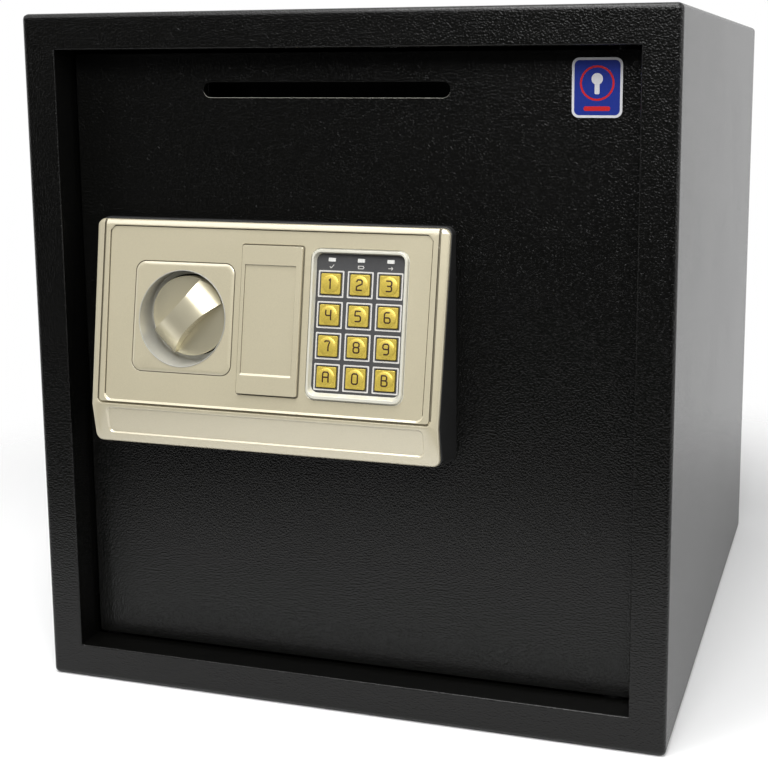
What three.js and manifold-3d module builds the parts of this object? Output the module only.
// A deposit safe: a folded steel cabinet with a recessed door, a posting slot, a keypad lock panel with
// a knob in a round well, and the bolt work behind the door. Millimetres, +Z up, the front faces -Y, and
// the origin is the centre of the footprint on the underside. At rest the door is shut and its bolts are
// drawn in.
import * as THREE from "three";
import { RoundedBoxGeometry } from "three/addons/geometries/RoundedBoxGeometry.js";
import { mergeVertices } from "three/addons/utils/BufferGeometryUtils.js";
import Module from "manifold-3d";

const wasm = await Module();
wasm.setup();

// Sizes that many pieces share
const FIT = 0.3; // gap between pieces that seat on each other
const OVER = 1; // how far a cutting tool runs past the surface it cuts

// Cabinet
const WIDTH = 350;
const HEIGHT = 370;
const DEPTH = 380;
const SHEET = 2; // wall of the folded cabinet
const BEND = 3; // outside radius of every fold
const FRAME_FACE = 19; // width of the face round the door opening
const RECESS = 18; // how far the door's face lies behind the frame's face
const RETURN_LAP = 2; // how far the frame's return laps the door's edge
const ANCHOR_RADIUS = 5; // holes for floor and wall anchors
const FLOOR_ANCHOR_X = 220; // spacing of the four floor holes across
const FLOOR_ANCHOR_Y = 240; // and front to back
const WALL_ANCHOR_X = 200; // spacing of the two holes in the back
const WALL_ANCHOR_BELOW_TOP = 80;
const MAT_THICK = 3;
const MAT_MARGIN = 3; // gap round the mat
const STOP_LAP = 6; // how far the stop strip reaches behind the door's free edge
const STOP_MARGIN = 21; // the strip ends this far from the opening's corners

// Door
const DOOR_PLATE = 4;
const DOOR_GAP = 2; // gap round the door plate
const DOOR_CORNER = 1;
const SLOT_LENGTH = 136;
const SLOT_HEIGHT = 8;
const SLOT_FROM_LATCH_EDGE = 76; // the posting slot's end from the door's free edge
const SLOT_BELOW_TOP = 19; // its centre under the door's top edge
const BADGE_WIDTH = 24.8;
const BADGE_HEIGHT = 28.8;
const BADGE_CORNER = 3.5;
const BADGE_THICK = 0.5;
const BADGE_FROM_HINGE_EDGE = 22; // badge centre from the door's hinge edge
const BADGE_BELOW_TOP = 18;

// Hinge: a pivot block behind the door at each end, its pin turning in a bracket behind the frame
const PIN_RADIUS = 4;
const PIN_CLEARANCE = 0.2;
const HINGE_FROM_RETURN = 12; // pin axis from the opening's side
const PIVOT_BLOCK = 12; // width of the block
const PIVOT_WALL = 1; // metal of the block behind its pin
const PIVOT_LENGTH = 42;
const PIVOT_TOP_GAP = 4; // between the upper block and its bracket
const BUSH_THICK = 4; // the bush that carries the door on the lower bracket
const BUSH_RADIUS = 5.5;
const BRACKET_THICK = 4;
const BRACKET_REACH = 14; // bracket behind the pin axis
const BRACKET_INNER = 22; // bracket from the pin axis towards the middle
const PIN_PAST_BRACKET = 1;

// Lock panel on the door
const PANEL_WIDTH = 201;
const PANEL_FROM_LATCH_EDGE = 14; // panel's side from the door's free edge
const PANEL_TOP_BELOW = 87; // panel's top edge under the door's top edge
const PANEL_TOP_STANDOFF = 7.5; // how far the face's top edge stands off the door
const PANEL_DRAFT = 0.09; // slope of the sides
const PANEL_CORNER = 4;
const FACE_TILT = THREE.MathUtils.degToRad(10.1);
const FACE_LENGTH = 100; // from the top edge down to the bend
const CHIN_TILT = THREE.MathUtils.degToRad(9.5);
const CHIN_LENGTH = 22;
const TOP_DRAFT = 0.5;
const BOTTOM_DRAFT = 3;
const BEZEL = 2.5; // thickness of the silver front
const BASE_WALL = 2.2;
const FIELD_SINK = 0.5; // the framed fields lie this much lower
const FIELD_SIDE = 9.5; // margins of the framed field
const FIELD_TOP = 4.7;
const FIELD_BOTTOM = 3.5;
const FIELD_CORNER = 3;
const CHIN_FIELD_SIDE = 11;
const CHIN_FIELD_TOP = 2.6;
const CHIN_FIELD_BOTTOM = 4.8;
const BOSS_RADIUS = 4.5; // screw bosses in the base
const BOSS_INSET = 7.5; // boss centre from the panel's side
const BOSS_RIB = 2; // rib that ties a boss to the side wall
const BOSS_FLOOR = 2; // metal of the boss past its screw hole

// Knob in its well
const KNOB_U = -47; // knob axis from the panel's centre
const KNOB_V = 52.3; // and down the face from its top edge
const WELL_RADIUS = 25.5;
const WELL_WALL = 2;
const KNOB_PAD = 56; // square raised pad round the well
const KNOB_PAD_CORNER = 5;
const KNOB_PAD_RISE = 0.6;
const KNOB_RADIUS = 21.7;
const KNOB_FLOOR = 8; // the knob's flat floor stands this far off the door
const KNOB_BACK_GAP = 2.5; // between the knob and the door
const GRIP_RISE = 10.6; // the arched grip's height over the floor
const GRIP_WAIST = 6.3; // half its width in the middle
const GRIP_END = 9; // half its width at the rim
const GRIP_INSET = 0.7; // the arch ends this far inside the rim
const GRIP_ANGLE = THREE.MathUtils.degToRad(45);
const SHAFT_RADIUS = 4;
const SHAFT_CLEARANCE = 0.5;

// Key cover and the emergency lock behind it
const COVER_U = 3.6;
const COVER_V = 51.4;
const COVER_WIDTH = 34.3;
const COVER_HEIGHT = 76.8;
const COVER_CORNER = 1.5;
const COVER_RISE = 1.4; // above the framed field
const COVER_RIM = 3; // lap of the cover over its hole
const COVER_FIELD_SIDE = 2.65; // margins of its sunk field
const COVER_FIELD_END = 9.2;
const COVER_FIELD_SINK = 0.4;
const LOCK_STANDOFF = 6; // lock's front from the door
const LOCK_RADIUS = 9.5;
const LOCK_BEHIND = 18; // lock body behind the door plate
const PLUG_RADIUS = 6;
const PLUG_CLEARANCE = 0.2;
const PLUG_SET_BACK = 0.5; // plug's face inside the body's
const KEYWAY = 7; // height of the keyway
const KEYWAY_WIDTH = 2;
const KEYWAY_DEEP = 10;
const LOCK_NUT_RADIUS = 13;
const LOCK_NUT_THICK = 5;
const LOCK_CAM_REACH = 18; // from the plug's axis to the cam's end
const LOCK_CAM_WIDTH = 10;
const LOCK_CAM_THICK = 2;

// Keypad
const KEY_PITCH = 16.05;
const KEY_SIZE = 10.6;
const KEY_CORNER = 0.6;
const KEY_GAP = 0.5; // between a key and its hole
const KEY_PROUD = 0.9; // key above the plate
const KEY_DOME_RADIUS = 4.7;
const KEY_DOME_RISE = 0.4;
const KEY_SKIRT = 1; // skirt round the key behind the plate
const KEY_SKIRT_THICK = 1.2;
const KEY_TRAVEL = 0.9;
const PAD_U = 52; // middle column
const PAD_V = 54.4; // middle of the four rows
const WINDOW_SIDE = 2.75; // plate shown beside the keys
const WINDOW_ABOVE = 10.5; // and over them, for the lights
const WINDOW_BELOW = 2.8;
const WINDOW_CORNER = 3;
const LIP_WIDTH = 2;
const LIP_RISE = 0.9;
const FASCIA_THICK = 2;
const FASCIA_LAP = 2; // fascia behind the front's edge
const LIGHT_WIDTH = 3.9;
const LIGHT_HEIGHT = 1.9;
const LIGHT_CORNER = 0.2;
const LIGHT_PROUD = 0.2;
const LIGHT_BAR = 1; // thickness of the bar that joins the windows
const LIGHT_ABOVE_KEYS = 12.6; // windows over the first row
const BOARD_THICK = 1.2;
const BOARD_LAP = 1; // keypad board past the window

// Bolt work behind the door
const BOLT_RADIUS = 8;
const BOLT_CLEARANCE = 0.4;
const BOLT_SPREAD = 110; // between the two bolts
const BOLT_TRAVEL = 16;
const BOLT_CHAMFER = 1.5;
const BOLT_TIP_CLEAR = 1; // drawn-in tip inside the stop strip
const BOLT_BEHIND_STOP = 0.7;
const PLATE = 3; // carriage and guide plates
const GUIDE_CLEAR = 1; // carriage flange to guide when thrown
const GUIDE_FOOT = 12;
const GUIDE_MARGIN = 12; // guide plate past the bolts' axes
const GUIDE_BRIDGE = 6; // the guide stands this far off the door between its two feet
const WEB_ABOVE = 40; // carriage web over the shaft
const WEB_BELOW = 38; // and under it
const WEB_MARGIN = 5; // web past its last notch
const HUB_GAP = 8.5; // between the crank's hub and the carriage flange
const FLANGE_MARGIN = 10; // flange past the bolts' axes
const CAM_BEHIND_DOOR = 8; // back of the crank
const CAM_THICK = 4;
const CAM_GAP = 2; // between crank and carriage
const CAM_WIDTH = 12;
const CAM_PIN_RADIUS = 2.5;
const CAM_PIN_SLACK = 0.6;
const CAM_PIN_PAST = 1.5; // pin past the carriage
const SOLENOID_WIDTH = 24;
const SOLENOID_HEIGHT = 26;
const SOLENOID_BACK = 10; // body behind the plunger's axis
const SOLENOID_BELOW_WEB = 22; // its top under the carriage's lower edge
const PLUNGER_RADIUS = 3;
const PLUNGER_CLEARANCE = 0.4;
const PLUNGER_FROM_SHAFT = 14.5; // plunger axis towards the hinge
const PLUNGER_TRAVEL = 8;
const PLUNGER_LENGTH = 38.5;
const PLUNGER_SHORT = 1.5; // pulled-in tip under the carriage
const BORE_SPARE = 2; // bore past the plunger's foot
const NOTCH_SPARE = 1.5; // notch past the raised tip
const NOTCH_SLACK = 1;
const COLLAR_RADIUS = 5;
const COLLAR_THICK = 2;
const COLLAR_BELOW_TIP = 9.5;
const SPRING_WIRE = 0.5; // wire radius
const SPRING_CLEARANCE = 0.5; // coil round the plunger
const SPRING_TURNS = 5;
const SPRING_STEPS = 8; // per turn
const SPRING_SIDES = 5;

// Cover over the bolt work
const PAN_SHEET = 1.5;
const PAN_DEPTH = 40;
const PAN_SLOPE = 34; // fall of the sloped top, front to back
const PAN_CLEAR = 4.3; // slope over the bolt guide
const PAN_LATCH_GAP = 0.4; // between the panel screw's head and the cover's side
const PAN_HINGE_GAP = 2.7; // from the lid's rail to the cover's side
const PAN_FLOOR_GAP = 6; // under the solenoid
const PAN_EAR = 8.5; // how far its ears reach
const PAN_EAR_TALL = 14;
const PAN_EAR_INSET = 12; // ear centre from the cover's top and bottom
const SCREW_HEAD_RADIUS = 3.6;
const SCREW_HEAD_THICK = 2.4;
const SCREW_RADIUS = 1.9;
const SCREW_SLACK = 0.3;
const SCREW_BITE = 2.5; // screw in the door plate
const DRIVER_WIDTH = 1; // slot in a screw's head
const DRIVER_DEEP = 0.8;

// Battery box, its cells and its lid
const CELL_RADIUS = 7.1;
const CELL_LENGTH = 50;
const CELL_TIP_RADIUS = 2.6;
const CELL_TIP = 0.9;
const CELL_SPARE = 1; // box past the cells' ends
const CELL_COUNT = 4;
const CELL_GAP = 1; // between neighbouring cells
const TRAY_WALL = 1.2;
const CELL_BEHIND = 1.3; // room behind the cells
const LID_THICK = 2;
const LID_LAP = 3; // lid past the tray's mouth
const LID_ABOVE_FLOOR = 18; // lid over the cover's bottom edge
const LID_TRAVEL = 25;
const LID_RIB_LENGTH = 24;
const LID_RIB_HEIGHT = 3;
const LID_RIB_RISE = 1.2;
const LID_RIB_BELOW_TOP = 10;
const RAIL = 1.4;
const RAIL_HOOK = 2; // how far a rail laps the lid

// Control board behind the cover
const LOGIC_WIDTH = 60;
const LOGIC_HEIGHT = 50;
const LOGIC_STANDOFF = 10.5;
const LOGIC_INSET = 6; // standoffs from the board's corners
const LOGIC_POST_RADIUS = 3;
const LOGIC_BESIDE_RIBBON = 18.5; // board centre from the ribbon
const LOGIC_BELOW_RIBBON = 14;
const RESET_RADIUS = 4;
const RESET_FLANGE = 1.5;
const RESET_PROUD = 2;
const RESET_TRAVEL = 1.5;
const RESET_SLACK = 0.5;
const RIBBON_WIDTH = 12;
const RIBBON_THICK = 1;
const RIBBON_SLACK = 1;

// Baffle behind the posting slot
const BAFFLE_SHEET = 1.5;
const BAFFLE_SIDE = 14; // past each end of the slot
const BAFFLE_TOP = 11; // over the slot's centre
const BAFFLE_ABOVE_COVER = 3; // over the top of the bolt work's cover
const BAFFLE_DEPTH = 28;

// Sides of round pieces
const ARCH = 64;
const FINE = 48;
const ROUND = 28;
const SMALL = 16;
const TINY = 12;
const HEXAGON = 6;

// Steps along a quarter of a rounded corner, and along the grip's curved sides
const CORNER_STEPS = 3;
const ARC_STEPS = 6;
const CURVE_STEPS = 12;

// Cabinet and door planes
const frontY = -DEPTH / 2;
const backY = DEPTH / 2;
const openX = WIDTH / 2 - FRAME_FACE;
const openLow = FRAME_FACE;
const openHigh = HEIGHT - FRAME_FACE;
const returnEndY = frontY + RECESS + RETURN_LAP;
const doorFaceY = frontY + RECESS;
const doorBackY = doorFaceY + DOOR_PLATE;
const doorX = openX - DOOR_GAP;
const doorLow = openLow + DOOR_GAP;
const doorHigh = openHigh - DOOR_GAP;
const hingeX = openX - HINGE_FROM_RETURN;
const hingeY = doorBackY + PIN_RADIUS;
const slotX = -doorX + SLOT_FROM_LATCH_EDGE + SLOT_LENGTH / 2;
const slotZ = doorHigh - SLOT_BELOW_TOP;

// Lock panel
const panelHalf = PANEL_WIDTH / 2;
const panelX = -doorX + PANEL_FROM_LATCH_EDGE + panelHalf;
const panelHigh = doorHigh - PANEL_TOP_BELOW;
const faceTop = { y: doorFaceY - PANEL_TOP_STANDOFF, z: panelHigh - TOP_DRAFT };
const bend = facePoint(FACE_LENGTH, 0);
const chinEnd = chinPoint(CHIN_LENGTH, 0);
const panelLow = chinEnd.z - BOTTOM_DRAFT;
const knobX = panelX + KNOB_U;
const knobZ = facePoint(KNOB_V, 0).z;
const lockX = panelX + COVER_U;
const lockZ = facePoint(COVER_V, 0).z;
const windowWidth = 2 * KEY_PITCH + KEY_SIZE + 2 * WINDOW_SIDE;
const windowHeight = 3 * KEY_PITCH + KEY_SIZE + WINDOW_ABOVE + WINDOW_BELOW;
const windowV = PAD_V + (WINDOW_BELOW - WINDOW_ABOVE) / 2;
const firstRowV = PAD_V - 1.5 * KEY_PITCH;
const lightV = firstRowV - LIGHT_ABOVE_KEYS;
const fasciaFront = BEZEL + FIT;
const fasciaBack = fasciaFront + FASCIA_THICK;
const skirtBack = fasciaBack + FIT + KEY_SKIRT_THICK;
const boardFront = skirtBack + KEY_TRAVEL + FIT;
const boardBack = boardFront + BOARD_THICK;
const panelScrewX = [-1, 1].map((side) => panelX + side * (panelHalf - BOSS_INSET));
const panelScrewZ = (panelHigh + panelLow) / 2;

// Bolt work, from the stop strip inwards
const stopX = -doorX + STOP_LAP;
const stopBackY = doorBackY + FIT + SHEET;
const boltY = stopBackY + BOLT_BEHIND_STOP + BOLT_RADIUS;
const boltZ = [knobZ + BOLT_SPREAD / 2, knobZ - BOLT_SPREAD / 2];
const boltTipX = stopX + BOLT_TIP_CLEAR;
const flangeX = knobX - CAM_WIDTH / 2 - HUB_GAP - PLATE;
const guideX = flangeX - BOLT_TRAVEL - GUIDE_CLEAR;
const guideBackY = boltY + BOLT_RADIUS + PLATE;
const guideLow = boltZ[1] - GUIDE_MARGIN;
const guideHigh = boltZ[0] + GUIDE_MARGIN;
const camBackY = doorBackY + CAM_BEHIND_DOOR;
const webY = camBackY + CAM_GAP;
const webBackY = webY + PLATE;
const crank = BOLT_TRAVEL / Math.SQRT2; // a quarter turn about its top carries the pin by the bolts' travel
const webLow = knobZ - WEB_BELOW;
const plungerX = knobX + PLUNGER_FROM_SHAFT;
const plungerY = webY + PLATE / 2;
const plungerTipZ = webLow - PLUNGER_SHORT;
const plungerFootZ = plungerTipZ - PLUNGER_LENGTH;
const notchHalf = PLUNGER_RADIUS + NOTCH_SLACK;
const webEndX = plungerX + BOLT_TRAVEL + notchHalf + WEB_MARGIN;
const collarZ = plungerTipZ - COLLAR_BELOW_TIP;
const solenoidTopZ = webLow - SOLENOID_BELOW_WEB;
const solenoidLowZ = solenoidTopZ - SOLENOID_HEIGHT;

// Emergency lock
const lockFrontY = doorFaceY - LOCK_STANDOFF;
const lockBackY = doorBackY + LOCK_BEHIND;
const lockCamY = lockBackY + FIT;

// Cover, control board and battery box
const panBackY = doorBackY + PAN_DEPTH;
const panInnerY = panBackY - PAN_SHEET;
const panLow = solenoidLowZ - PAN_FLOOR_GAP;
const panHigh = guideHigh + PAN_CLEAR + (PAN_SLOPE * (guideBackY - doorBackY)) / PAN_DEPTH;
const ribbonX = panelX + PAD_U;
const ribbonZ = facePoint(lightV, 0).z;
const logicX = ribbonX + LOGIC_BESIDE_RIBBON;
const logicZ = ribbonZ - LOGIC_BELOW_RIBBON;
const logicY = panInnerY - LOGIC_STANDOFF;
const trayX = logicX;
const cellPitch = 2 * CELL_RADIUS + CELL_GAP;
const trayHalf = (CELL_COUNT * cellPitch) / 2 + TRAY_WALL;
const trayHigh = CELL_LENGTH / 2 + CELL_SPARE + TRAY_WALL;
const trayZ = panLow + LID_ABOVE_FLOOR + LID_LAP + trayHigh;
const trayFrontY = panInnerY - CELL_BEHIND - 2 * CELL_RADIUS - FIT - TRAY_WALL;
const lidHalf = trayHalf + LID_LAP;
const lidLow = trayZ - trayHigh - LID_LAP;
const lidHigh = trayZ + trayHigh + LID_LAP;
const lidY = panBackY + FIT;
const lidBackY = lidY + LID_THICK;
const panLeft = panelScrewX[0] - SCREW_HEAD_RADIUS - PAN_LATCH_GAP - PAN_SHEET;
const panRight = trayX + lidHalf + FIT + RAIL + PAN_HINGE_GAP;
const ears = [panLeft - PAN_EAR / 2, panRight + PAN_EAR / 2].flatMap((x) =>
  [panLow + PAN_EAR_INSET, panHigh - PAN_EAR_INSET].map((z) => ({ x, z })),
);

// A point on the silver face, v down from its top edge and d below its surface
function facePoint(v, d) {
  return {
    y: faceTop.y - v * Math.sin(FACE_TILT) + d * Math.cos(FACE_TILT),
    z: faceTop.z - v * Math.cos(FACE_TILT) - d * Math.sin(FACE_TILT),
  };
}

// Where the layer d below the face lies at height z
function faceLayerY(z, d) {
  const v = (faceTop.z - z - d * Math.sin(FACE_TILT)) / Math.cos(FACE_TILT);
  return facePoint(v, d).y;
}

// A point on the chin, v down from the bend
function chinPoint(v, d) {
  return {
    y: bend.y + v * Math.sin(CHIN_TILT) + d * Math.cos(CHIN_TILT),
    z: bend.z - v * Math.cos(CHIN_TILT) + d * Math.sin(CHIN_TILT),
  };
}

// The corner at the bend, d below both surfaces
function bendPoint(d) {
  const spread = Math.sin(FACE_TILT + CHIN_TILT);
  return {
    y: bend.y + (d * (Math.sin(CHIN_TILT) + Math.sin(FACE_TILT))) / spread,
    z: bend.z + (d * (Math.cos(FACE_TILT) - Math.cos(CHIN_TILT))) / spread,
  };
}

// Finishes
function finish(color, roughness, metalness) {
  return new THREE.MeshStandardMaterial({ color, roughness, metalness });
}

const blackPaint = finish(0x141512, 0.45, 0.2);
const silverPlastic = finish(0xc9c2a8, 0.35, 0.4);
const blackPlastic = finish(0x1b1b1b, 0.5, 0);
const satinChrome = finish(0xc6c4bd, 0.25, 0.9);
const fasciaGrey = finish(0x4a4a4d, 0.5, 0);
const goldPlastic = finish(0xc9a93c, 0.35, 0.6);
const milkyWhite = finish(0xe8e8e4, 0.3, 0);
const steel = finish(0xa9abad, 0.3, 0.9);
const zinc = finish(0xb9bab4, 0.4, 0.8);
const brass = finish(0xb5954a, 0.35, 0.9);
const boardGreen = finish(0x1d5a34, 0.5, 0);
const felt = finish(0x2b2b2d, 0.95, 0);
const redPlastic = finish(0xa81c1c, 0.4, 0);
const badgeBlue = finish(0x24307e, 0.4, 0);
const cellWrap = finish(0x2c5f8a, 0.4, 0.2);
const ribbonGrey = finish(0x8d9096, 0.6, 0);
const nylon = finish(0xe0ddd0, 0.5, 0);

// Solids
function box(x0, x1, y0, y1, z0, z1) {
  const made = new THREE.BoxGeometry(x1 - x0, y1 - y0, z1 - z0);
  return made.translate((x0 + x1) / 2, (y0 + y1) / 2, (z0 + z1) / 2);
}

// A round bar along an axis: a and b are its centre in the two other directions, in X, Y, Z order
function rod(axis, a, b, radius, from, to, sides = SMALL) {
  const made = new THREE.CylinderGeometry(radius, radius, to - from, sides);
  const middle = (from + to) / 2;
  if (axis === "x") return made.rotateZ(Math.PI / 2).translate(middle, a, b);
  if (axis === "z") return made.rotateX(Math.PI / 2).translate(a, b, middle);
  return made.translate(a, middle, b);
}

// A hole through the door plate
function doorHole(x, z, radius, sides = SMALL) {
  return rod("y", x, z, radius, doorFaceY - OVER, doorBackY + OVER, sides);
}

// An outline in X and Z, given a thickness from y0 to y1
function slab(shape, y0, y1, curveSegments = CORNER_STEPS) {
  const made = new THREE.ExtrudeGeometry(shape, { depth: y1 - y0, bevelEnabled: false, curveSegments });
  return made.rotateX(Math.PI / 2).translate(0, y1, 0);
}

// A side outline, points of { y, z }, stretched from x0 to x1
function profile(points, x0, x1) {
  const shape = new THREE.Shape(points.map((p) => new THREE.Vector2(p.y, p.z)));
  const made = new THREE.ExtrudeGeometry(shape, { depth: x1 - x0, bevelEnabled: false });
  return made.rotateX(Math.PI / 2).rotateZ(Math.PI / 2).translate(x0, 0, 0);
}

function roundedRect(x, z, width, height, radius) {
  const shape = new THREE.Shape();
  const r = Math.min(radius, width / 2, height / 2);
  const right = x + width / 2 - r;
  const left = x - width / 2 + r;
  const high = z + height / 2 - r;
  const low = z - height / 2 + r;
  shape.absarc(right, low, r, -Math.PI / 2, 0);
  shape.absarc(right, high, r, 0, Math.PI / 2);
  shape.absarc(left, high, r, Math.PI / 2, Math.PI);
  shape.absarc(left, low, r, Math.PI, 1.5 * Math.PI);
  shape.closePath();
  return shape;
}

function solid(geometry) {
  const bare = geometry.clone();
  bare.deleteAttribute("normal");
  bare.deleteAttribute("uv");
  const merged = mergeVertices(bare, 1e-4);
  const vertProperties = new Float32Array(merged.attributes.position.array);
  const triVerts = new Uint32Array(merged.index.array);
  return new wasm.Manifold(new wasm.Mesh({ numProp: 3, vertProperties, triVerts }));
}

function toGeometry(made) {
  const { vertProperties, triVerts } = made.getMesh();
  const geometry = new THREE.BufferGeometry();
  geometry.setAttribute("position", new THREE.BufferAttribute(new Float32Array(vertProperties), 3));
  geometry.setIndex(new THREE.BufferAttribute(new Uint32Array(triVerts), 1));
  return geometry;
}

// One geometry: what is joined, less what is cut away
function shaped(joined, cut = []) {
  const whole = joined.map(solid).reduce((a, b) => a.add(b));
  return toGeometry(cut.map(solid).reduce((a, b) => a.subtract(b), whole));
}

function common(a, b) {
  return toGeometry(solid(a).intersect(solid(b)));
}

function piece(group, name, geometry, material) {
  const mesh = new THREE.Mesh(geometry, material);
  mesh.name = name;
  group.add(mesh);
}

function group(parent) {
  const made = new THREE.Group();
  parent.add(made);
  return made;
}

const safe = new THREE.Group();
const cabinet = group(safe);
const door = group(safe);

// Cabinet
function cabinetForm() {
  return new RoundedBoxGeometry(WIDTH, DEPTH, HEIGHT, 3, BEND).translate(0, 0, HEIGHT / 2);
}

function cabinetShell() {
  const wallX = WIDTH / 2 - SHEET;
  const inside = box(-wallX, wallX, frontY + SHEET, backY + OVER, SHEET, HEIGHT - SHEET);
  const behind = box(-WIDTH, WIDTH, backY - SHEET, backY + DEPTH, -HEIGHT, 2 * HEIGHT);
  const walls = shaped([cabinetForm()], [inside, behind]);
  const outer = openX + SHEET;
  const sleeve = box(-outer, outer, frontY + SHEET / 2, returnEndY, openLow - SHEET, openHigh + SHEET);
  const opening = box(-openX, openX, frontY - OVER, returnEndY + OVER, openLow, openHigh);
  const anchors = [-1, 1].flatMap((i) =>
    [-1, 1].map((j) => {
      const x = (i * FLOOR_ANCHOR_X) / 2;
      const y = (j * FLOOR_ANCHOR_Y) / 2;
      return rod("z", x, y, ANCHOR_RADIUS, -OVER, SHEET + OVER);
    }),
  );
  return shaped([walls, sleeve], [opening, ...anchors]);
}

function backPanel() {
  const ahead = box(-WIDTH, WIDTH, frontY - DEPTH, backY - SHEET, -HEIGHT, 2 * HEIGHT);
  const anchorZ = HEIGHT - WALL_ANCHOR_BELOW_TOP;
  const anchors = [-1, 1].map((i) =>
    rod("y", (i * WALL_ANCHOR_X) / 2, anchorZ, ANCHOR_RADIUS, backY - SHEET - OVER, backY + OVER),
  );
  return shaped([cabinetForm()], [ahead, ...anchors]);
}

piece(cabinet, "cabinet_shell", cabinetShell(), blackPaint);
piece(cabinet, "back_panel", backPanel(), blackPaint);

// Hinge brackets lie on the frame's return, above and below the door
function hingeBracket(low) {
  const high = low + BRACKET_THICK;
  const wallX = WIDTH / 2 - SHEET - FIT;
  const plateFrontY = frontY + SHEET + FIT;
  const plate = box(hingeX - BRACKET_INNER, wallX, plateFrontY, hingeY + BRACKET_REACH, low, high);
  const bore = rod("z", hingeX, hingeY, PIN_RADIUS + PIN_CLEARANCE, low - OVER, high + OVER, ROUND);
  return shaped([plate], [bore]);
}

piece(cabinet, "upper_hinge_bracket", hingeBracket(openHigh + SHEET), steel);
piece(cabinet, "lower_hinge_bracket", hingeBracket(openLow - SHEET - BRACKET_THICK), steel);

// An angle behind the return that the door's free edge shuts against
function latchStop() {
  const low = openLow + STOP_MARGIN;
  const high = openHigh - STOP_MARGIN;
  const outer = -openX - 2 * SHEET;
  const leg = box(outer, outer + SHEET, frontY + 2 * SHEET, stopBackY, low, high);
  const flange = box(outer, stopX, stopBackY - SHEET, stopBackY, low, high);
  return shaped([leg, flange]);
}

function floorMat() {
  const halfX = WIDTH / 2 - SHEET - MAT_MARGIN;
  const matFrontY = returnEndY + MAT_MARGIN;
  const matBackY = backY - SHEET - MAT_MARGIN;
  return box(-halfX, halfX, matFrontY, matBackY, SHEET, SHEET + MAT_THICK);
}

piece(cabinet, "latch_stop", latchStop(), blackPaint);
piece(cabinet, "floor_mat", floorMat(), felt);

// Door plate with its posting slot
function doorPlate() {
  const height = doorHigh - doorLow;
  const outline = roundedRect(0, doorLow + height / 2, 2 * doorX, height, DOOR_CORNER);
  outline.holes.push(roundedRect(slotX, slotZ, SLOT_LENGTH, SLOT_HEIGHT, SLOT_HEIGHT / 2));
  const ribbonHalf = RIBBON_WIDTH / 2 + RIBBON_SLACK;
  const ribbonHole = box(
    ribbonX - ribbonHalf,
    ribbonX + ribbonHalf,
    doorFaceY - OVER,
    doorBackY + OVER,
    ribbonZ - RIBBON_THICK / 2 - RIBBON_SLACK,
    ribbonZ + RIBBON_THICK / 2 + RIBBON_SLACK,
  );
  const screwHole = SCREW_RADIUS + SCREW_SLACK;
  const earBoreY = doorBackY - SCREW_BITE - SCREW_SLACK;
  return shaped(
    [slab(outline, doorFaceY, doorBackY, ARC_STEPS)],
    [
      doorHole(knobX, knobZ, SHAFT_RADIUS + SHAFT_CLEARANCE),
      doorHole(lockX, lockZ, LOCK_RADIUS + FIT, ROUND),
      ribbonHole,
      ...panelScrewX.map((x) => doorHole(x, panelScrewZ, screwHole, TINY)),
      ...ears.map(({ x, z }) => rod("y", x, z, screwHole, earBoreY, doorBackY + OVER, TINY)),
    ],
  );
}

function doorBadge() {
  const x = doorX - BADGE_FROM_HINGE_EDGE;
  const z = doorHigh - BADGE_BELOW_TOP;
  const outline = roundedRect(x, z, BADGE_WIDTH, BADGE_HEIGHT, BADGE_CORNER);
  return slab(outline, doorFaceY - BADGE_THICK, doorFaceY, ARC_STEPS);
}

piece(door, "door_plate", doorPlate(), blackPaint);
piece(door, "door_badge", doorBadge(), badgeBlue);

// Pivots: each is a block on the door plate's back with the pin that turns in a bracket
const bushLow = openLow - SHEET;
const lowerBlock = bushLow + BUSH_THICK;
const upperBlock = openHigh + SHEET - PIVOT_TOP_GAP;
const pinPast = BRACKET_THICK + PIN_PAST_BRACKET;

function pivot(low, high, pinLow, pinHigh) {
  const half = PIVOT_BLOCK / 2;
  const block = box(hingeX - half, hingeX + half, doorBackY, hingeY + PIN_RADIUS + PIVOT_WALL, low, high);
  return shaped([block, rod("z", hingeX, hingeY, PIN_RADIUS, pinLow, pinHigh, ROUND)]);
}

function pivotBush() {
  const bore = rod(
    "z", hingeX, hingeY, PIN_RADIUS + PIN_CLEARANCE, bushLow - OVER, lowerBlock + OVER, ROUND,
  );
  return shaped([rod("z", hingeX, hingeY, BUSH_RADIUS, bushLow, lowerBlock, ROUND)], [bore]);
}

function upperPivot() {
  return pivot(upperBlock - PIVOT_LENGTH, upperBlock, upperBlock - PIN_RADIUS, openHigh + SHEET + pinPast);
}

function lowerPivot() {
  return pivot(lowerBlock, lowerBlock + PIVOT_LENGTH, bushLow - pinPast, lowerBlock + PIN_RADIUS);
}

piece(door, "upper_pivot", upperPivot(), steel);
piece(door, "lower_pivot", lowerPivot(), steel);
piece(door, "pivot_bush", pivotBush(), nylon);

// Baffle that turns posted envelopes down and keeps hooks out
function slotBaffle() {
  const left = slotX - SLOT_LENGTH / 2 - BAFFLE_SIDE;
  const right = slotX + SLOT_LENGTH / 2 + BAFFLE_SIDE;
  const low = panHigh + BAFFLE_ABOVE_COVER;
  const high = slotZ + BAFFLE_TOP;
  const rear = doorBackY + BAFFLE_DEPTH;
  const t = BAFFLE_SHEET;
  const inside = box(left + t, right - t, doorBackY - OVER, rear - t, low - OVER, high - t);
  return shaped([box(left, right, doorBackY, rear, low, high)], [inside]);
}

piece(door, "slot_baffle", slotBaffle(), blackPaint);

// Lock panel: its side outline at depth d below the silver surface
function frontLine(d) {
  return [facePoint(0, d), bendPoint(d), chinPoint(CHIN_LENGTH, d)];
}

// Everything between two outlines, as wide as need be
function acrossPanel(points) {
  return profile([...points].reverse(), panelX - PANEL_WIDTH, panelX + PANEL_WIDTH);
}

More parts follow.
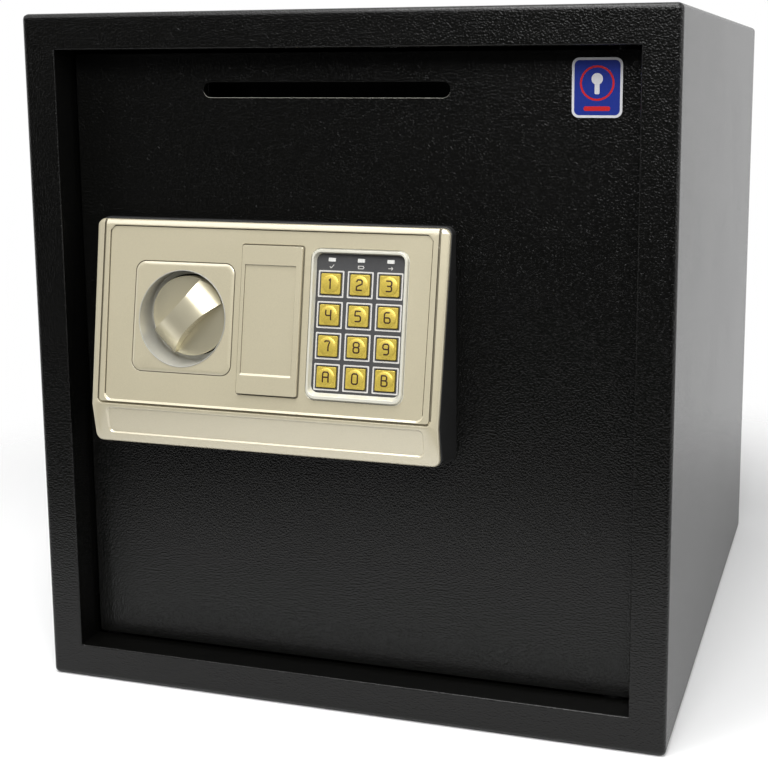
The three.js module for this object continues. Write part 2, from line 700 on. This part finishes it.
// The panel's outer form: drafted sides and round corners
function panelForm() {
  const reach = doorFaceY - bend.y + BEZEL;
  const front = panelHalf - PANEL_DRAFT * reach;
  const plan = new THREE.Shape([
    new THREE.Vector2(panelX - panelHalf, doorFaceY),
    new THREE.Vector2(panelX - front, doorFaceY - reach),
    new THREE.Vector2(panelX + front, doorFaceY - reach),
    new THREE.Vector2(panelX + panelHalf, doorFaceY),
  ]);
  const height = panelHigh - panelLow;
  const drafted = new THREE.ExtrudeGeometry(plan, { depth: height, bevelEnabled: false });
  drafted.translate(0, 0, panelLow);
  const outline = roundedRect(panelX, panelLow + height / 2, PANEL_WIDTH, height, PANEL_CORNER);
  return common(drafted, slab(outline, doorFaceY - reach, doorFaceY, ARC_STEPS));
}

function panelBase() {
  const topCorner = { y: doorFaceY, z: panelHigh };
  const lowCorner = { y: doorFaceY, z: panelLow };
  const wedge = acrossPanel([topCorner, ...frontLine(fasciaFront), lowCorner]);
  const inner = panelHalf - PANEL_DRAFT * (doorFaceY - bend.y) - BASE_WALL;
  const low = chinEnd.z + BASE_WALL;
  const high = faceTop.z - BASE_WALL;
  const hollow = box(panelX - inner, panelX + inner, bend.y - OVER, doorFaceY + OVER, low, high);
  const bossFrontY = faceLayerY(panelScrewZ + BOSS_RADIUS, fasciaFront) + FIT;
  const bosses = panelScrewX.flatMap((x) => {
    const wallX = x < panelX ? panelX - inner - OVER : panelX + inner + OVER;
    const z0 = panelScrewZ - BOSS_RIB / 2;
    return [
      rod("y", x, panelScrewZ, BOSS_RADIUS, bossFrontY, doorFaceY),
      box(Math.min(x, wallX), Math.max(x, wallX), bossFrontY, doorFaceY, z0, z0 + BOSS_RIB),
    ];
  });
  const bores = panelScrewX.map((x) => {
    const radius = SCREW_RADIUS + SCREW_SLACK;
    return rod("y", x, panelScrewZ, radius, bossFrontY + BOSS_FLOOR, doorFaceY + OVER, TINY);
  });
  return shaped([shaped([common(wedge, panelForm())], [hollow]), ...bosses], bores);
}

// The face's own frame: X along the panel, -Z down the face from its top edge, +Y into the panel
const faceFrame = new THREE.Matrix4().makeRotationX(-FACE_TILT).setPosition(panelX, faceTop.y, faceTop.z);
const chinFrame = new THREE.Matrix4().makeRotationX(CHIN_TILT).setPosition(panelX, bend.y, bend.z);

function onFace(geometry) {
  return geometry.applyMatrix4(faceFrame);
}

function onChin(geometry) {
  return geometry.applyMatrix4(chinFrame);
}

function panelBezel() {
  const sheet = acrossPanel([...frontLine(0), ...frontLine(BEZEL).reverse()]);
  const fieldHeight = FACE_LENGTH - FIELD_TOP - FIELD_BOTTOM;
  const fieldWidth = PANEL_WIDTH - 2 * FIELD_SIDE;
  const field = roundedRect(0, -FIELD_TOP - fieldHeight / 2, fieldWidth, fieldHeight, FIELD_CORNER);
  const chinHeight = CHIN_LENGTH - CHIN_FIELD_TOP - CHIN_FIELD_BOTTOM;
  const chinWidth = PANEL_WIDTH - 2 * CHIN_FIELD_SIDE;
  const chinField = roundedRect(0, -CHIN_FIELD_TOP - chinHeight / 2, chinWidth, chinHeight, FIELD_CORNER);
  const sunk = shaped(
    [common(sheet, panelForm())],
    [onFace(slab(field, -BEZEL, FIELD_SINK)), onChin(slab(chinField, -BEZEL, FIELD_SINK))],
  );
  const padOutline = roundedRect(KNOB_U, -KNOB_V, KNOB_PAD, KNOB_PAD, KNOB_PAD_CORNER);
  const pad = slab(padOutline, FIELD_SINK - KNOB_PAD_RISE, BEZEL - FIT);
  const lipWidth = windowWidth + 2 * LIP_WIDTH;
  const lipHeight = windowHeight + 2 * LIP_WIDTH;
  const lipOutline = roundedRect(PAD_U, -windowV, lipWidth, lipHeight, WINDOW_CORNER + LIP_WIDTH);
  const lip = slab(lipOutline, FIELD_SINK - LIP_RISE, BEZEL - FIT);
  const wellFrontY = bend.y - BEZEL;
  const tube = rod("y", knobX, knobZ, WELL_RADIUS + WELL_WALL, wellFrontY, doorFaceY - FIT, FINE);
  const sheetOutline = roundedRect(0, -FACE_LENGTH / 2, 2 * PANEL_WIDTH, 2 * FACE_LENGTH, PANEL_CORNER);
  const ahead = slab(sheetOutline, -PANEL_WIDTH, FIELD_SINK);
  const well = shaped([tube], [onFace(ahead)]);
  const bore = rod("y", knobX, knobZ, WELL_RADIUS, wellFrontY - GRIP_RISE, doorFaceY + OVER, FINE);
  const window = roundedRect(PAD_U, -windowV, windowWidth, windowHeight, WINDOW_CORNER);
  const holeWidth = COVER_WIDTH - 2 * COVER_RIM;
  const holeHeight = COVER_HEIGHT - 2 * COVER_RIM;
  const coverHole = roundedRect(COVER_U, -COVER_V, holeWidth, holeHeight, COVER_CORNER);
  return shaped(
    [sunk, onFace(pad), onFace(lip), well],
    [bore, onFace(slab(window, -BEZEL, 2 * BEZEL)), onFace(slab(coverHole, -BEZEL, 2 * BEZEL))],
  );
}

piece(door, "panel_base", panelBase(), blackPlastic);
piece(door, "panel_bezel", panelBezel(), silverPlastic);

// A slotted screw from behind the door: its head rests at headY and its tip lies ahead, at tipY
function screw(x, z, headY, tipY) {
  const headBackY = headY + SCREW_HEAD_THICK;
  const head = rod("y", x, z, SCREW_HEAD_RADIUS, headY, headBackY);
  const shank = rod("y", x, z, SCREW_RADIUS, tipY, headY + OVER, TINY);
  const half = DRIVER_WIDTH / 2;
  const reach = SCREW_HEAD_RADIUS + OVER;
  const driver = box(x - half, x + half, headBackY - DRIVER_DEEP, headBackY + OVER, z - reach, z + reach);
  return shaped([head, shank], [driver]);
}

panelScrewX.forEach((x, i) => {
  const tipY = doorFaceY - PANEL_TOP_STANDOFF;
  piece(door, `panel_screw_${i + 1}`, screw(x, panelScrewZ, doorBackY, tipY), zinc);
});

// Pieces drawn in the face's frame
const face = group(door);
face.applyMatrix4(faceFrame);

const keyRows = [["1", "2", "3"], ["4", "5", "6"], ["7", "8", "9"], ["a", "0", "b"]];
const columns = [-1, 0, 1].map((i) => PAD_U + i * KEY_PITCH);
const keys = keyRows.flatMap((row, j) =>
  row.map((label, i) => ({ label, u: columns[i], v: firstRowV + j * KEY_PITCH })),
);

function keypadFascia() {
  const width = windowWidth + 2 * FASCIA_LAP;
  const height = windowHeight + 2 * FASCIA_LAP;
  const outline = roundedRect(PAD_U, -windowV, width, height, WINDOW_CORNER);
  const keyHole = KEY_SIZE + 2 * KEY_GAP;
  for (const { u, v } of keys) {
    outline.holes.push(roundedRect(u, -v, keyHole, keyHole, KEY_CORNER));
  }
  const lightHoleWidth = LIGHT_WIDTH + 2 * FIT;
  const lightHoleHeight = LIGHT_HEIGHT + 2 * FIT;
  for (const u of columns) {
    outline.holes.push(roundedRect(u, -lightV, lightHoleWidth, lightHoleHeight, LIGHT_CORNER));
  }
  return slab(outline, fasciaFront, fasciaBack);
}

function keyCap(u, v) {
  const top = fasciaFront - KEY_PROUD;
  const skirtSize = KEY_SIZE + 2 * (KEY_GAP + KEY_SKIRT);
  const crown = slab(roundedRect(u, -v, KEY_SIZE, KEY_SIZE, KEY_CORNER), top, skirtBack);
  const dome = rod("y", u, -v, KEY_DOME_RADIUS, top - KEY_DOME_RISE, top + OVER);
  const skirt = slab(roundedRect(u, -v, skirtSize, skirtSize, KEY_CORNER), fasciaBack + FIT, skirtBack);
  return shaped([crown, dome, skirt]);
}

// One clear moulding: three windows on a bar behind the fascia
function lightPipe() {
  const barFront = fasciaBack + FIT;
  const barWidth = 2 * KEY_PITCH + LIGHT_WIDTH;
  const bar = roundedRect(PAD_U, -lightV, barWidth, LIGHT_HEIGHT, LIGHT_CORNER);
  const windows = columns.map((u) => {
    const outline = roundedRect(u, -lightV, LIGHT_WIDTH, LIGHT_HEIGHT, LIGHT_CORNER);
    return slab(outline, fasciaFront - LIGHT_PROUD, barFront + LIGHT_BAR / 2);
  });
  return shaped([slab(bar, barFront, barFront + LIGHT_BAR), ...windows]);
}

function keyCover() {
  const front = FIELD_SINK - COVER_RISE;
  const back = FIELD_SINK - FIT;
  const plate = slab(roundedRect(COVER_U, -COVER_V, COVER_WIDTH, COVER_HEIGHT, COVER_CORNER), front, back);
  const stubWidth = COVER_WIDTH - 2 * (COVER_RIM + FIT);
  const stubHeight = COVER_HEIGHT - 2 * (COVER_RIM + FIT);
  const stubOutline = roundedRect(COVER_U, -COVER_V, stubWidth, stubHeight, COVER_CORNER);
  const stub = slab(stubOutline, back - FIT, BEZEL);
  const fieldWidth = COVER_WIDTH - 2 * COVER_FIELD_SIDE;
  const fieldHeight = COVER_HEIGHT - 2 * COVER_FIELD_END;
  const field = roundedRect(COVER_U, -COVER_V, fieldWidth, fieldHeight, COVER_FIELD_SINK);
  return shaped([plate, stub], [slab(field, front - OVER, front + COVER_FIELD_SINK)]);
}

function keypadBoard() {
  const width = windowWidth + 2 * BOARD_LAP;
  const height = windowHeight + 2 * BOARD_LAP;
  return slab(roundedRect(PAD_U, -windowV, width, height, BOARD_LAP), boardFront, boardBack);
}

piece(face, "keypad_fascia", keypadFascia(), fasciaGrey);
for (const { label, u, v } of keys) piece(face, `key_${label}`, keyCap(u, v), goldPlastic);
piece(face, "light_pipe", lightPipe(), milkyWhite);
piece(face, "keypad_board", keypadBoard(), boardGreen);
piece(face, "key_cover", keyCover(), silverPlastic);

// Knob, shaft and crank turn together about the shaft
const knobGroup = group(door);
knobGroup.position.set(knobX, 0, knobZ);
const knobFloorY = doorFaceY - KNOB_FLOOR;
const knobBackY = doorFaceY - KNOB_BACK_GAP;

// The grip is an arch from rim to rim, narrow in the middle and wide at its ends
function knobShape() {
  const crestY = knobFloorY - GRIP_RISE;
  const reach = KNOB_RADIUS - GRIP_INSET;
  const archRadius = (reach * reach + GRIP_RISE * GRIP_RISE) / (2 * GRIP_RISE);
  const arch = new THREE.CylinderGeometry(archRadius, archRadius, 2 * GRIP_END, ARCH);
  arch.rotateX(Math.PI / 2).translate(0, crestY + archRadius, 0);
  const outline = new THREE.Shape();
  outline.moveTo(-reach, -GRIP_END);
  outline.quadraticCurveTo(0, GRIP_END - 2 * GRIP_WAIST, reach, -GRIP_END);
  outline.lineTo(reach, GRIP_END);
  outline.quadraticCurveTo(0, 2 * GRIP_WAIST - GRIP_END, -reach, GRIP_END);
  const grip = common(arch, slab(outline, crestY - OVER, knobFloorY + OVER, CURVE_STEPS));
  const disc = rod("y", 0, 0, KNOB_RADIUS, knobFloorY, knobBackY, FINE);
  const limit = rod("y", 0, 0, KNOB_RADIUS, crestY - OVER, knobBackY, FINE);
  return common(shaped([grip, disc]), limit).rotateY(-GRIP_ANGLE);
}

// The crank's pin starts up and towards the hinge, and a quarter turn carries it to the other side
function crankArm() {
  const outline = roundedRect(0, crank / 2, CAM_WIDTH, crank + CAM_WIDTH, CAM_WIDTH / 2);
  const arm = slab(outline, camBackY - CAM_THICK, camBackY, ARC_STEPS);
  const pin = rod("y", 0, crank, CAM_PIN_RADIUS, camBackY - OVER, webBackY + CAM_PIN_PAST);
  return shaped([arm, pin]).rotateY(Math.PI / 4);
}

piece(knobGroup, "knob", knobShape(), satinChrome);
piece(knobGroup, "knob_shaft", rod("y", 0, 0, SHAFT_RADIUS, knobBackY, camBackY - CAM_THICK), zinc);
piece(knobGroup, "crank_arm", crankArm(), zinc);

// Bolts on their carriage
const bolts = group(door);

function bolt(z) {
  const body = rod("x", boltY, z, BOLT_RADIUS, boltTipX + BOLT_CHAMFER, flangeX, ROUND);
  const tip = new THREE.CylinderGeometry(BOLT_RADIUS - BOLT_CHAMFER, BOLT_RADIUS, BOLT_CHAMFER, ROUND);
  tip.rotateZ(Math.PI / 2).translate(boltTipX + BOLT_CHAMFER / 2, boltY, z);
  return shaped([body, tip]);
}

function boltCarriage() {
  const pinRest = crank * Math.SQRT1_2;
  const rise = crank - pinRest;
  const slotHalf = CAM_PIN_RADIUS + CAM_PIN_SLACK;
  const slotMiddle = knobZ + pinRest + rise / 2;
  const slotTall = rise + 2 * slotHalf + OVER;
  const pinSlot = roundedRect(knobX + pinRest, slotMiddle, 2 * slotHalf, slotTall, slotHalf);
  const notchTop = plungerTipZ + PLUNGER_TRAVEL + NOTCH_SPARE;
  const notches = [plungerX, plungerX + BOLT_TRAVEL].map((x) =>
    box(x - notchHalf, x + notchHalf, webY - OVER, webBackY + OVER, webLow - OVER, notchTop),
  );
  const flange = box(
    flangeX,
    flangeX + PLATE,
    boltY - BOLT_RADIUS,
    boltY + BOLT_RADIUS,
    boltZ[1] - FLANGE_MARGIN,
    boltZ[0] + FLANGE_MARGIN,
  );
  const web = box(flangeX, webEndX, webY, webBackY, webLow, knobZ + WEB_ABOVE);
  return shaped([flange, web], [slab(pinSlot, webY - OVER, webBackY + OVER, ARC_STEPS), ...notches]);
}

function boltGuide() {
  const wall = box(guideX - PLATE, guideX, doorBackY, guideBackY, guideLow, guideHigh);
  const foot = box(guideX - PLATE, guideX + GUIDE_FOOT, doorBackY, doorBackY + SHEET, guideLow, guideHigh);
  const bores = boltZ.map((z) =>
    rod("x", boltY, z, BOLT_RADIUS + BOLT_CLEARANCE, guideX - PLATE - OVER, guideX + OVER, ROUND),
  );
  const bridge = box(
    guideX - PLATE - OVER,
    guideX + GUIDE_FOOT + OVER,
    doorBackY - OVER,
    doorBackY + GUIDE_BRIDGE,
    boltZ[1] + GUIDE_MARGIN,
    boltZ[0] - GUIDE_MARGIN,
  );
  return shaped([wall, foot], [...bores, bridge]);
}

piece(bolts, "upper_bolt", bolt(boltZ[0]), steel);
piece(bolts, "lower_bolt", bolt(boltZ[1]), steel);
piece(bolts, "bolt_carriage", boltCarriage(), zinc);
piece(door, "bolt_guide", boltGuide(), zinc);

// Solenoid, whose plunger rises into a notch of the carriage
function solenoid() {
  const half = SOLENOID_WIDTH / 2;
  const backFace = plungerY + SOLENOID_BACK;
  const body = box(plungerX - half, plungerX + half, doorBackY, backFace, solenoidLowZ, solenoidTopZ);
  const boreLow = plungerFootZ - BORE_SPARE;
  const boreRadius = PLUNGER_RADIUS + PLUNGER_CLEARANCE;
  return shaped([body], [rod("z", plungerX, plungerY, boreRadius, boreLow, solenoidTopZ + OVER)]);
}

function plungerSpring() {
  const low = solenoidTopZ + SPRING_WIRE + FIT;
  const high = collarZ - SPRING_WIRE - FIT;
  const radius = PLUNGER_RADIUS + SPRING_CLEARANCE + SPRING_WIRE;
  const count = SPRING_TURNS * SPRING_STEPS;
  const points = Array.from({ length: count + 1 }, (_, i) => {
    const turn = (i / SPRING_STEPS) * 2 * Math.PI;
    const z = low + ((high - low) * i) / count;
    return new THREE.Vector3(plungerX + radius * Math.cos(turn), plungerY + radius * Math.sin(turn), z);
  });
  const wire = new THREE.Shape().absarc(0, 0, SPRING_WIRE, 0, 2 * Math.PI);
  const extrudePath = new THREE.CatmullRomCurve3(points);
  return new THREE.ExtrudeGeometry(wire, { steps: count, curveSegments: SPRING_SIDES, extrudePath });
}

function solenoidPlunger() {
  return shaped([
    rod("z", plungerX, plungerY, PLUNGER_RADIUS, plungerFootZ, plungerTipZ),
    rod("z", plungerX, plungerY, COLLAR_RADIUS, collarZ, collarZ + COLLAR_THICK),
  ]);
}

piece(door, "solenoid", solenoid(), zinc);
piece(door, "plunger_spring", plungerSpring(), steel);
piece(door, "solenoid_plunger", solenoidPlunger(), steel);

// Emergency key lock under the key cover
const lockCam = group(door);

function lockBody() {
  const body = rod("y", lockX, lockZ, LOCK_RADIUS, lockFrontY, lockBackY, ROUND);
  const bore = rod(
    "y", lockX, lockZ, PLUG_RADIUS + PLUG_CLEARANCE, lockFrontY - OVER, lockBackY + OVER, ROUND,
  );
  return shaped([body], [bore]);
}

function lockNut() {
  const nutBackY = doorBackY + LOCK_NUT_THICK;
  const hexagon = rod("y", lockX, lockZ, LOCK_NUT_RADIUS, doorBackY, nutBackY, HEXAGON);
  const bore = rod("y", lockX, lockZ, LOCK_RADIUS + FIT, doorBackY - OVER, nutBackY + OVER, ROUND);
  return shaped([hexagon], [bore]);
}

function lockPlug() {
  const plugFrontY = lockFrontY + PLUG_SET_BACK;
  const body = rod("y", lockX, lockZ, PLUG_RADIUS, plugFrontY, lockCamY, ROUND);
  const half = KEYWAY_WIDTH / 2;
  const low = lockZ - KEYWAY / 2;
  const keyway = box(
    lockX - half, lockX + half, plugFrontY - OVER, plugFrontY + KEYWAY_DEEP, low, low + KEYWAY,
  );
  return shaped([body], [keyway]);
}

function overrideCam() {
  const half = LOCK_CAM_WIDTH / 2;
  const length = LOCK_CAM_REACH + half;
  const outline = roundedRect(lockX, lockZ + half - length / 2, LOCK_CAM_WIDTH, length, half);
  return slab(outline, lockCamY, lockCamY + LOCK_CAM_THICK, ARC_STEPS);
}

piece(door, "override_lock_body", lockBody(), zinc);
piece(door, "lock_nut", lockNut(), zinc);
piece(lockCam, "override_lock_plug", lockPlug(), brass);
piece(lockCam, "override_cam", overrideCam(), zinc);

// Cover over the bolt work, with a sloped top that lets envelopes slide off
function panOutline(inset, frontFaceY) {
  return [
    { y: frontFaceY, z: panLow + inset },
    { y: panBackY - inset, z: panLow + inset },
    { y: panBackY - inset, z: panHigh - PAN_SLOPE - inset },
    { y: frontFaceY, z: panHigh - inset },
  ];
}

function earPlate({ x, z }) {
  const outer = x < panLeft ? panLeft - PAN_EAR : panRight + PAN_EAR;
  const inner = x < panLeft ? panLeft + PAN_SHEET / 2 : panRight - PAN_SHEET / 2;
  const half = PAN_EAR_TALL / 2;
  const [left, right] = [Math.min(outer, inner), Math.max(outer, inner)];
  return box(left, right, doorBackY, doorBackY + PAN_SHEET, z - half, z + half);
}

function earHole({ x, z }) {
  const rear = doorBackY + PAN_SHEET + OVER;
  return rod("y", x, z, SCREW_RADIUS + SCREW_SLACK, doorBackY - OVER, rear, TINY);
}

// Two rails with hooks that the battery lid slides between
function lidRails() {
  const hookY = lidBackY + FIT;
  const high = lidHigh + LID_TRAVEL;
  return [-1, 1].flatMap((side) => {
    const inner = trayX + side * (lidHalf + FIT);
    const outer = inner + side * RAIL;
    const hook = inner - side * RAIL_HOOK;
    return [
      box(Math.min(inner, outer), Math.max(inner, outer), panBackY - FIT, hookY + RAIL, lidLow, high),
      box(Math.min(hook, outer), Math.max(hook, outer), hookY, hookY + RAIL, lidLow, high),
    ];
  });
}

function mechanismCover() {
  const left = panLeft + PAN_SHEET;
  const right = panRight - PAN_SHEET;
  const outside = profile(panOutline(0, doorBackY), panLeft, panRight);
  const inside = profile(panOutline(PAN_SHEET, doorBackY - OVER), left, right);
  const hull = shaped([outside, ...ears.map(earPlate)], [inside, ...ears.map(earHole)]);
  const boltHoles = boltZ.map((z) =>
    rod("x", boltY, z, BOLT_RADIUS + 2 * BOLT_CLEARANCE, panLeft - OVER, left + OVER, ROUND),
  );
  const mouthX = trayHalf - TRAY_WALL;
  const mouthZ = trayHigh - TRAY_WALL;
  const mouth = box(
    trayX - mouthX, trayX + mouthX, panInnerY - OVER, panBackY + OVER, trayZ - mouthZ, trayZ + mouthZ,
  );
  const buttonBore = RESET_RADIUS + RESET_SLACK;
  const buttonHole = rod("y", logicX, logicZ, buttonBore, panInnerY - OVER, panBackY + OVER);
  const posts = [-1, 1].map((side) => {
    const x = logicX + side * (LOGIC_WIDTH / 2 - LOGIC_INSET);
    const z = logicZ + side * (LOGIC_HEIGHT / 2 - LOGIC_INSET);
    return rod("y", x, z, LOGIC_POST_RADIUS, logicY, panInnerY + FIT, TINY);
  });
  return shaped([shaped([hull], [...boltHoles, mouth, buttonHole]), ...posts, ...lidRails()]);
}

piece(door, "mechanism_cover", mechanismCover(), blackPaint);
ears.forEach(({ x, z }, i) => {
  piece(door, `cover_screw_${i + 1}`, screw(x, z, doorBackY + PAN_SHEET, doorBackY - SCREW_BITE), zinc);
});

// Battery box, cells and lid
function batteryBox() {
  const t = TRAY_WALL;
  const left = trayX - trayHalf;
  const right = trayX + trayHalf;
  const low = trayZ - trayHigh;
  const high = trayZ + trayHigh;
  const inside = box(left + t, right - t, trayFrontY + t, panInnerY + OVER, low + t, high - t);
  return shaped([box(left, right, trayFrontY, panInnerY, low, high)], [inside]);
}

// Neighbouring cells point opposite ways
function cell(i) {
  const x = trayX + (i - (CELL_COUNT - 1) / 2) * cellPitch;
  const y = trayFrontY + TRAY_WALL + FIT + CELL_RADIUS;
  const up = i % 2 ? 1 : -1;
  const half = CELL_LENGTH / 2;
  const middle = trayZ - (up * CELL_TIP) / 2;
  const tipZ = middle + up * half;
  const can = rod("z", x, y, CELL_RADIUS, middle - half, middle + half, ROUND);
  return shaped([can, rod("z", x, y, CELL_TIP_RADIUS, tipZ - CELL_TIP, tipZ + CELL_TIP, TINY)]);
}

function batteryLid() {
  const ribHigh = lidHigh - LID_RIB_BELOW_TOP;
  const half = LID_RIB_LENGTH / 2;
  const ribLow = ribHigh - LID_RIB_HEIGHT;
  const ribFrontY = lidBackY - LID_THICK / 2;
  const rib = box(trayX - half, trayX + half, ribFrontY, lidBackY + LID_RIB_RISE, ribLow, ribHigh);
  return shaped([box(trayX - lidHalf, trayX + lidHalf, lidY, lidBackY, lidLow, lidHigh), rib]);
}

piece(door, "battery_box", batteryBox(), blackPlastic);
for (let i = 0; i < CELL_COUNT; i++) piece(door, `battery_${i + 1}`, cell(i), cellWrap);
piece(door, "battery_lid", batteryLid(), blackPlastic);

// Control board, its button and the ribbon from the keypad
function controlBoard() {
  const x = LOGIC_WIDTH / 2;
  const z = LOGIC_HEIGHT / 2;
  return box(logicX - x, logicX + x, logicY - BOARD_THICK, logicY, logicZ - z, logicZ + z);
}

function resetButton() {
  const flangeBackY = panInnerY - FIT;
  const stem = rod("y", logicX, logicZ, RESET_RADIUS, logicY + RESET_TRAVEL + FIT, panBackY + RESET_PROUD);
  const flangeFrontY = flangeBackY - RESET_FLANGE;
  return shaped([stem, rod("y", logicX, logicZ, RESET_RADIUS + RESET_FLANGE, flangeFrontY, flangeBackY)]);
}

function ribbonCable() {
  const half = RIBBON_WIDTH / 2;
  const low = ribbonZ - RIBBON_THICK / 2;
  const high = ribbonZ + RIBBON_THICK / 2;
  const from = faceLayerY(high, boardBack) + FIT;
  return box(ribbonX - half, ribbonX + half, from, logicY - BOARD_THICK - FIT, low, high);
}

piece(door, "control_board", controlBoard(), boardGreen);
piece(door, "reset_button", resetButton(), redPlastic);
piece(door, "ribbon_cable", ribbonCable(), ribbonGrey);

export default safe;
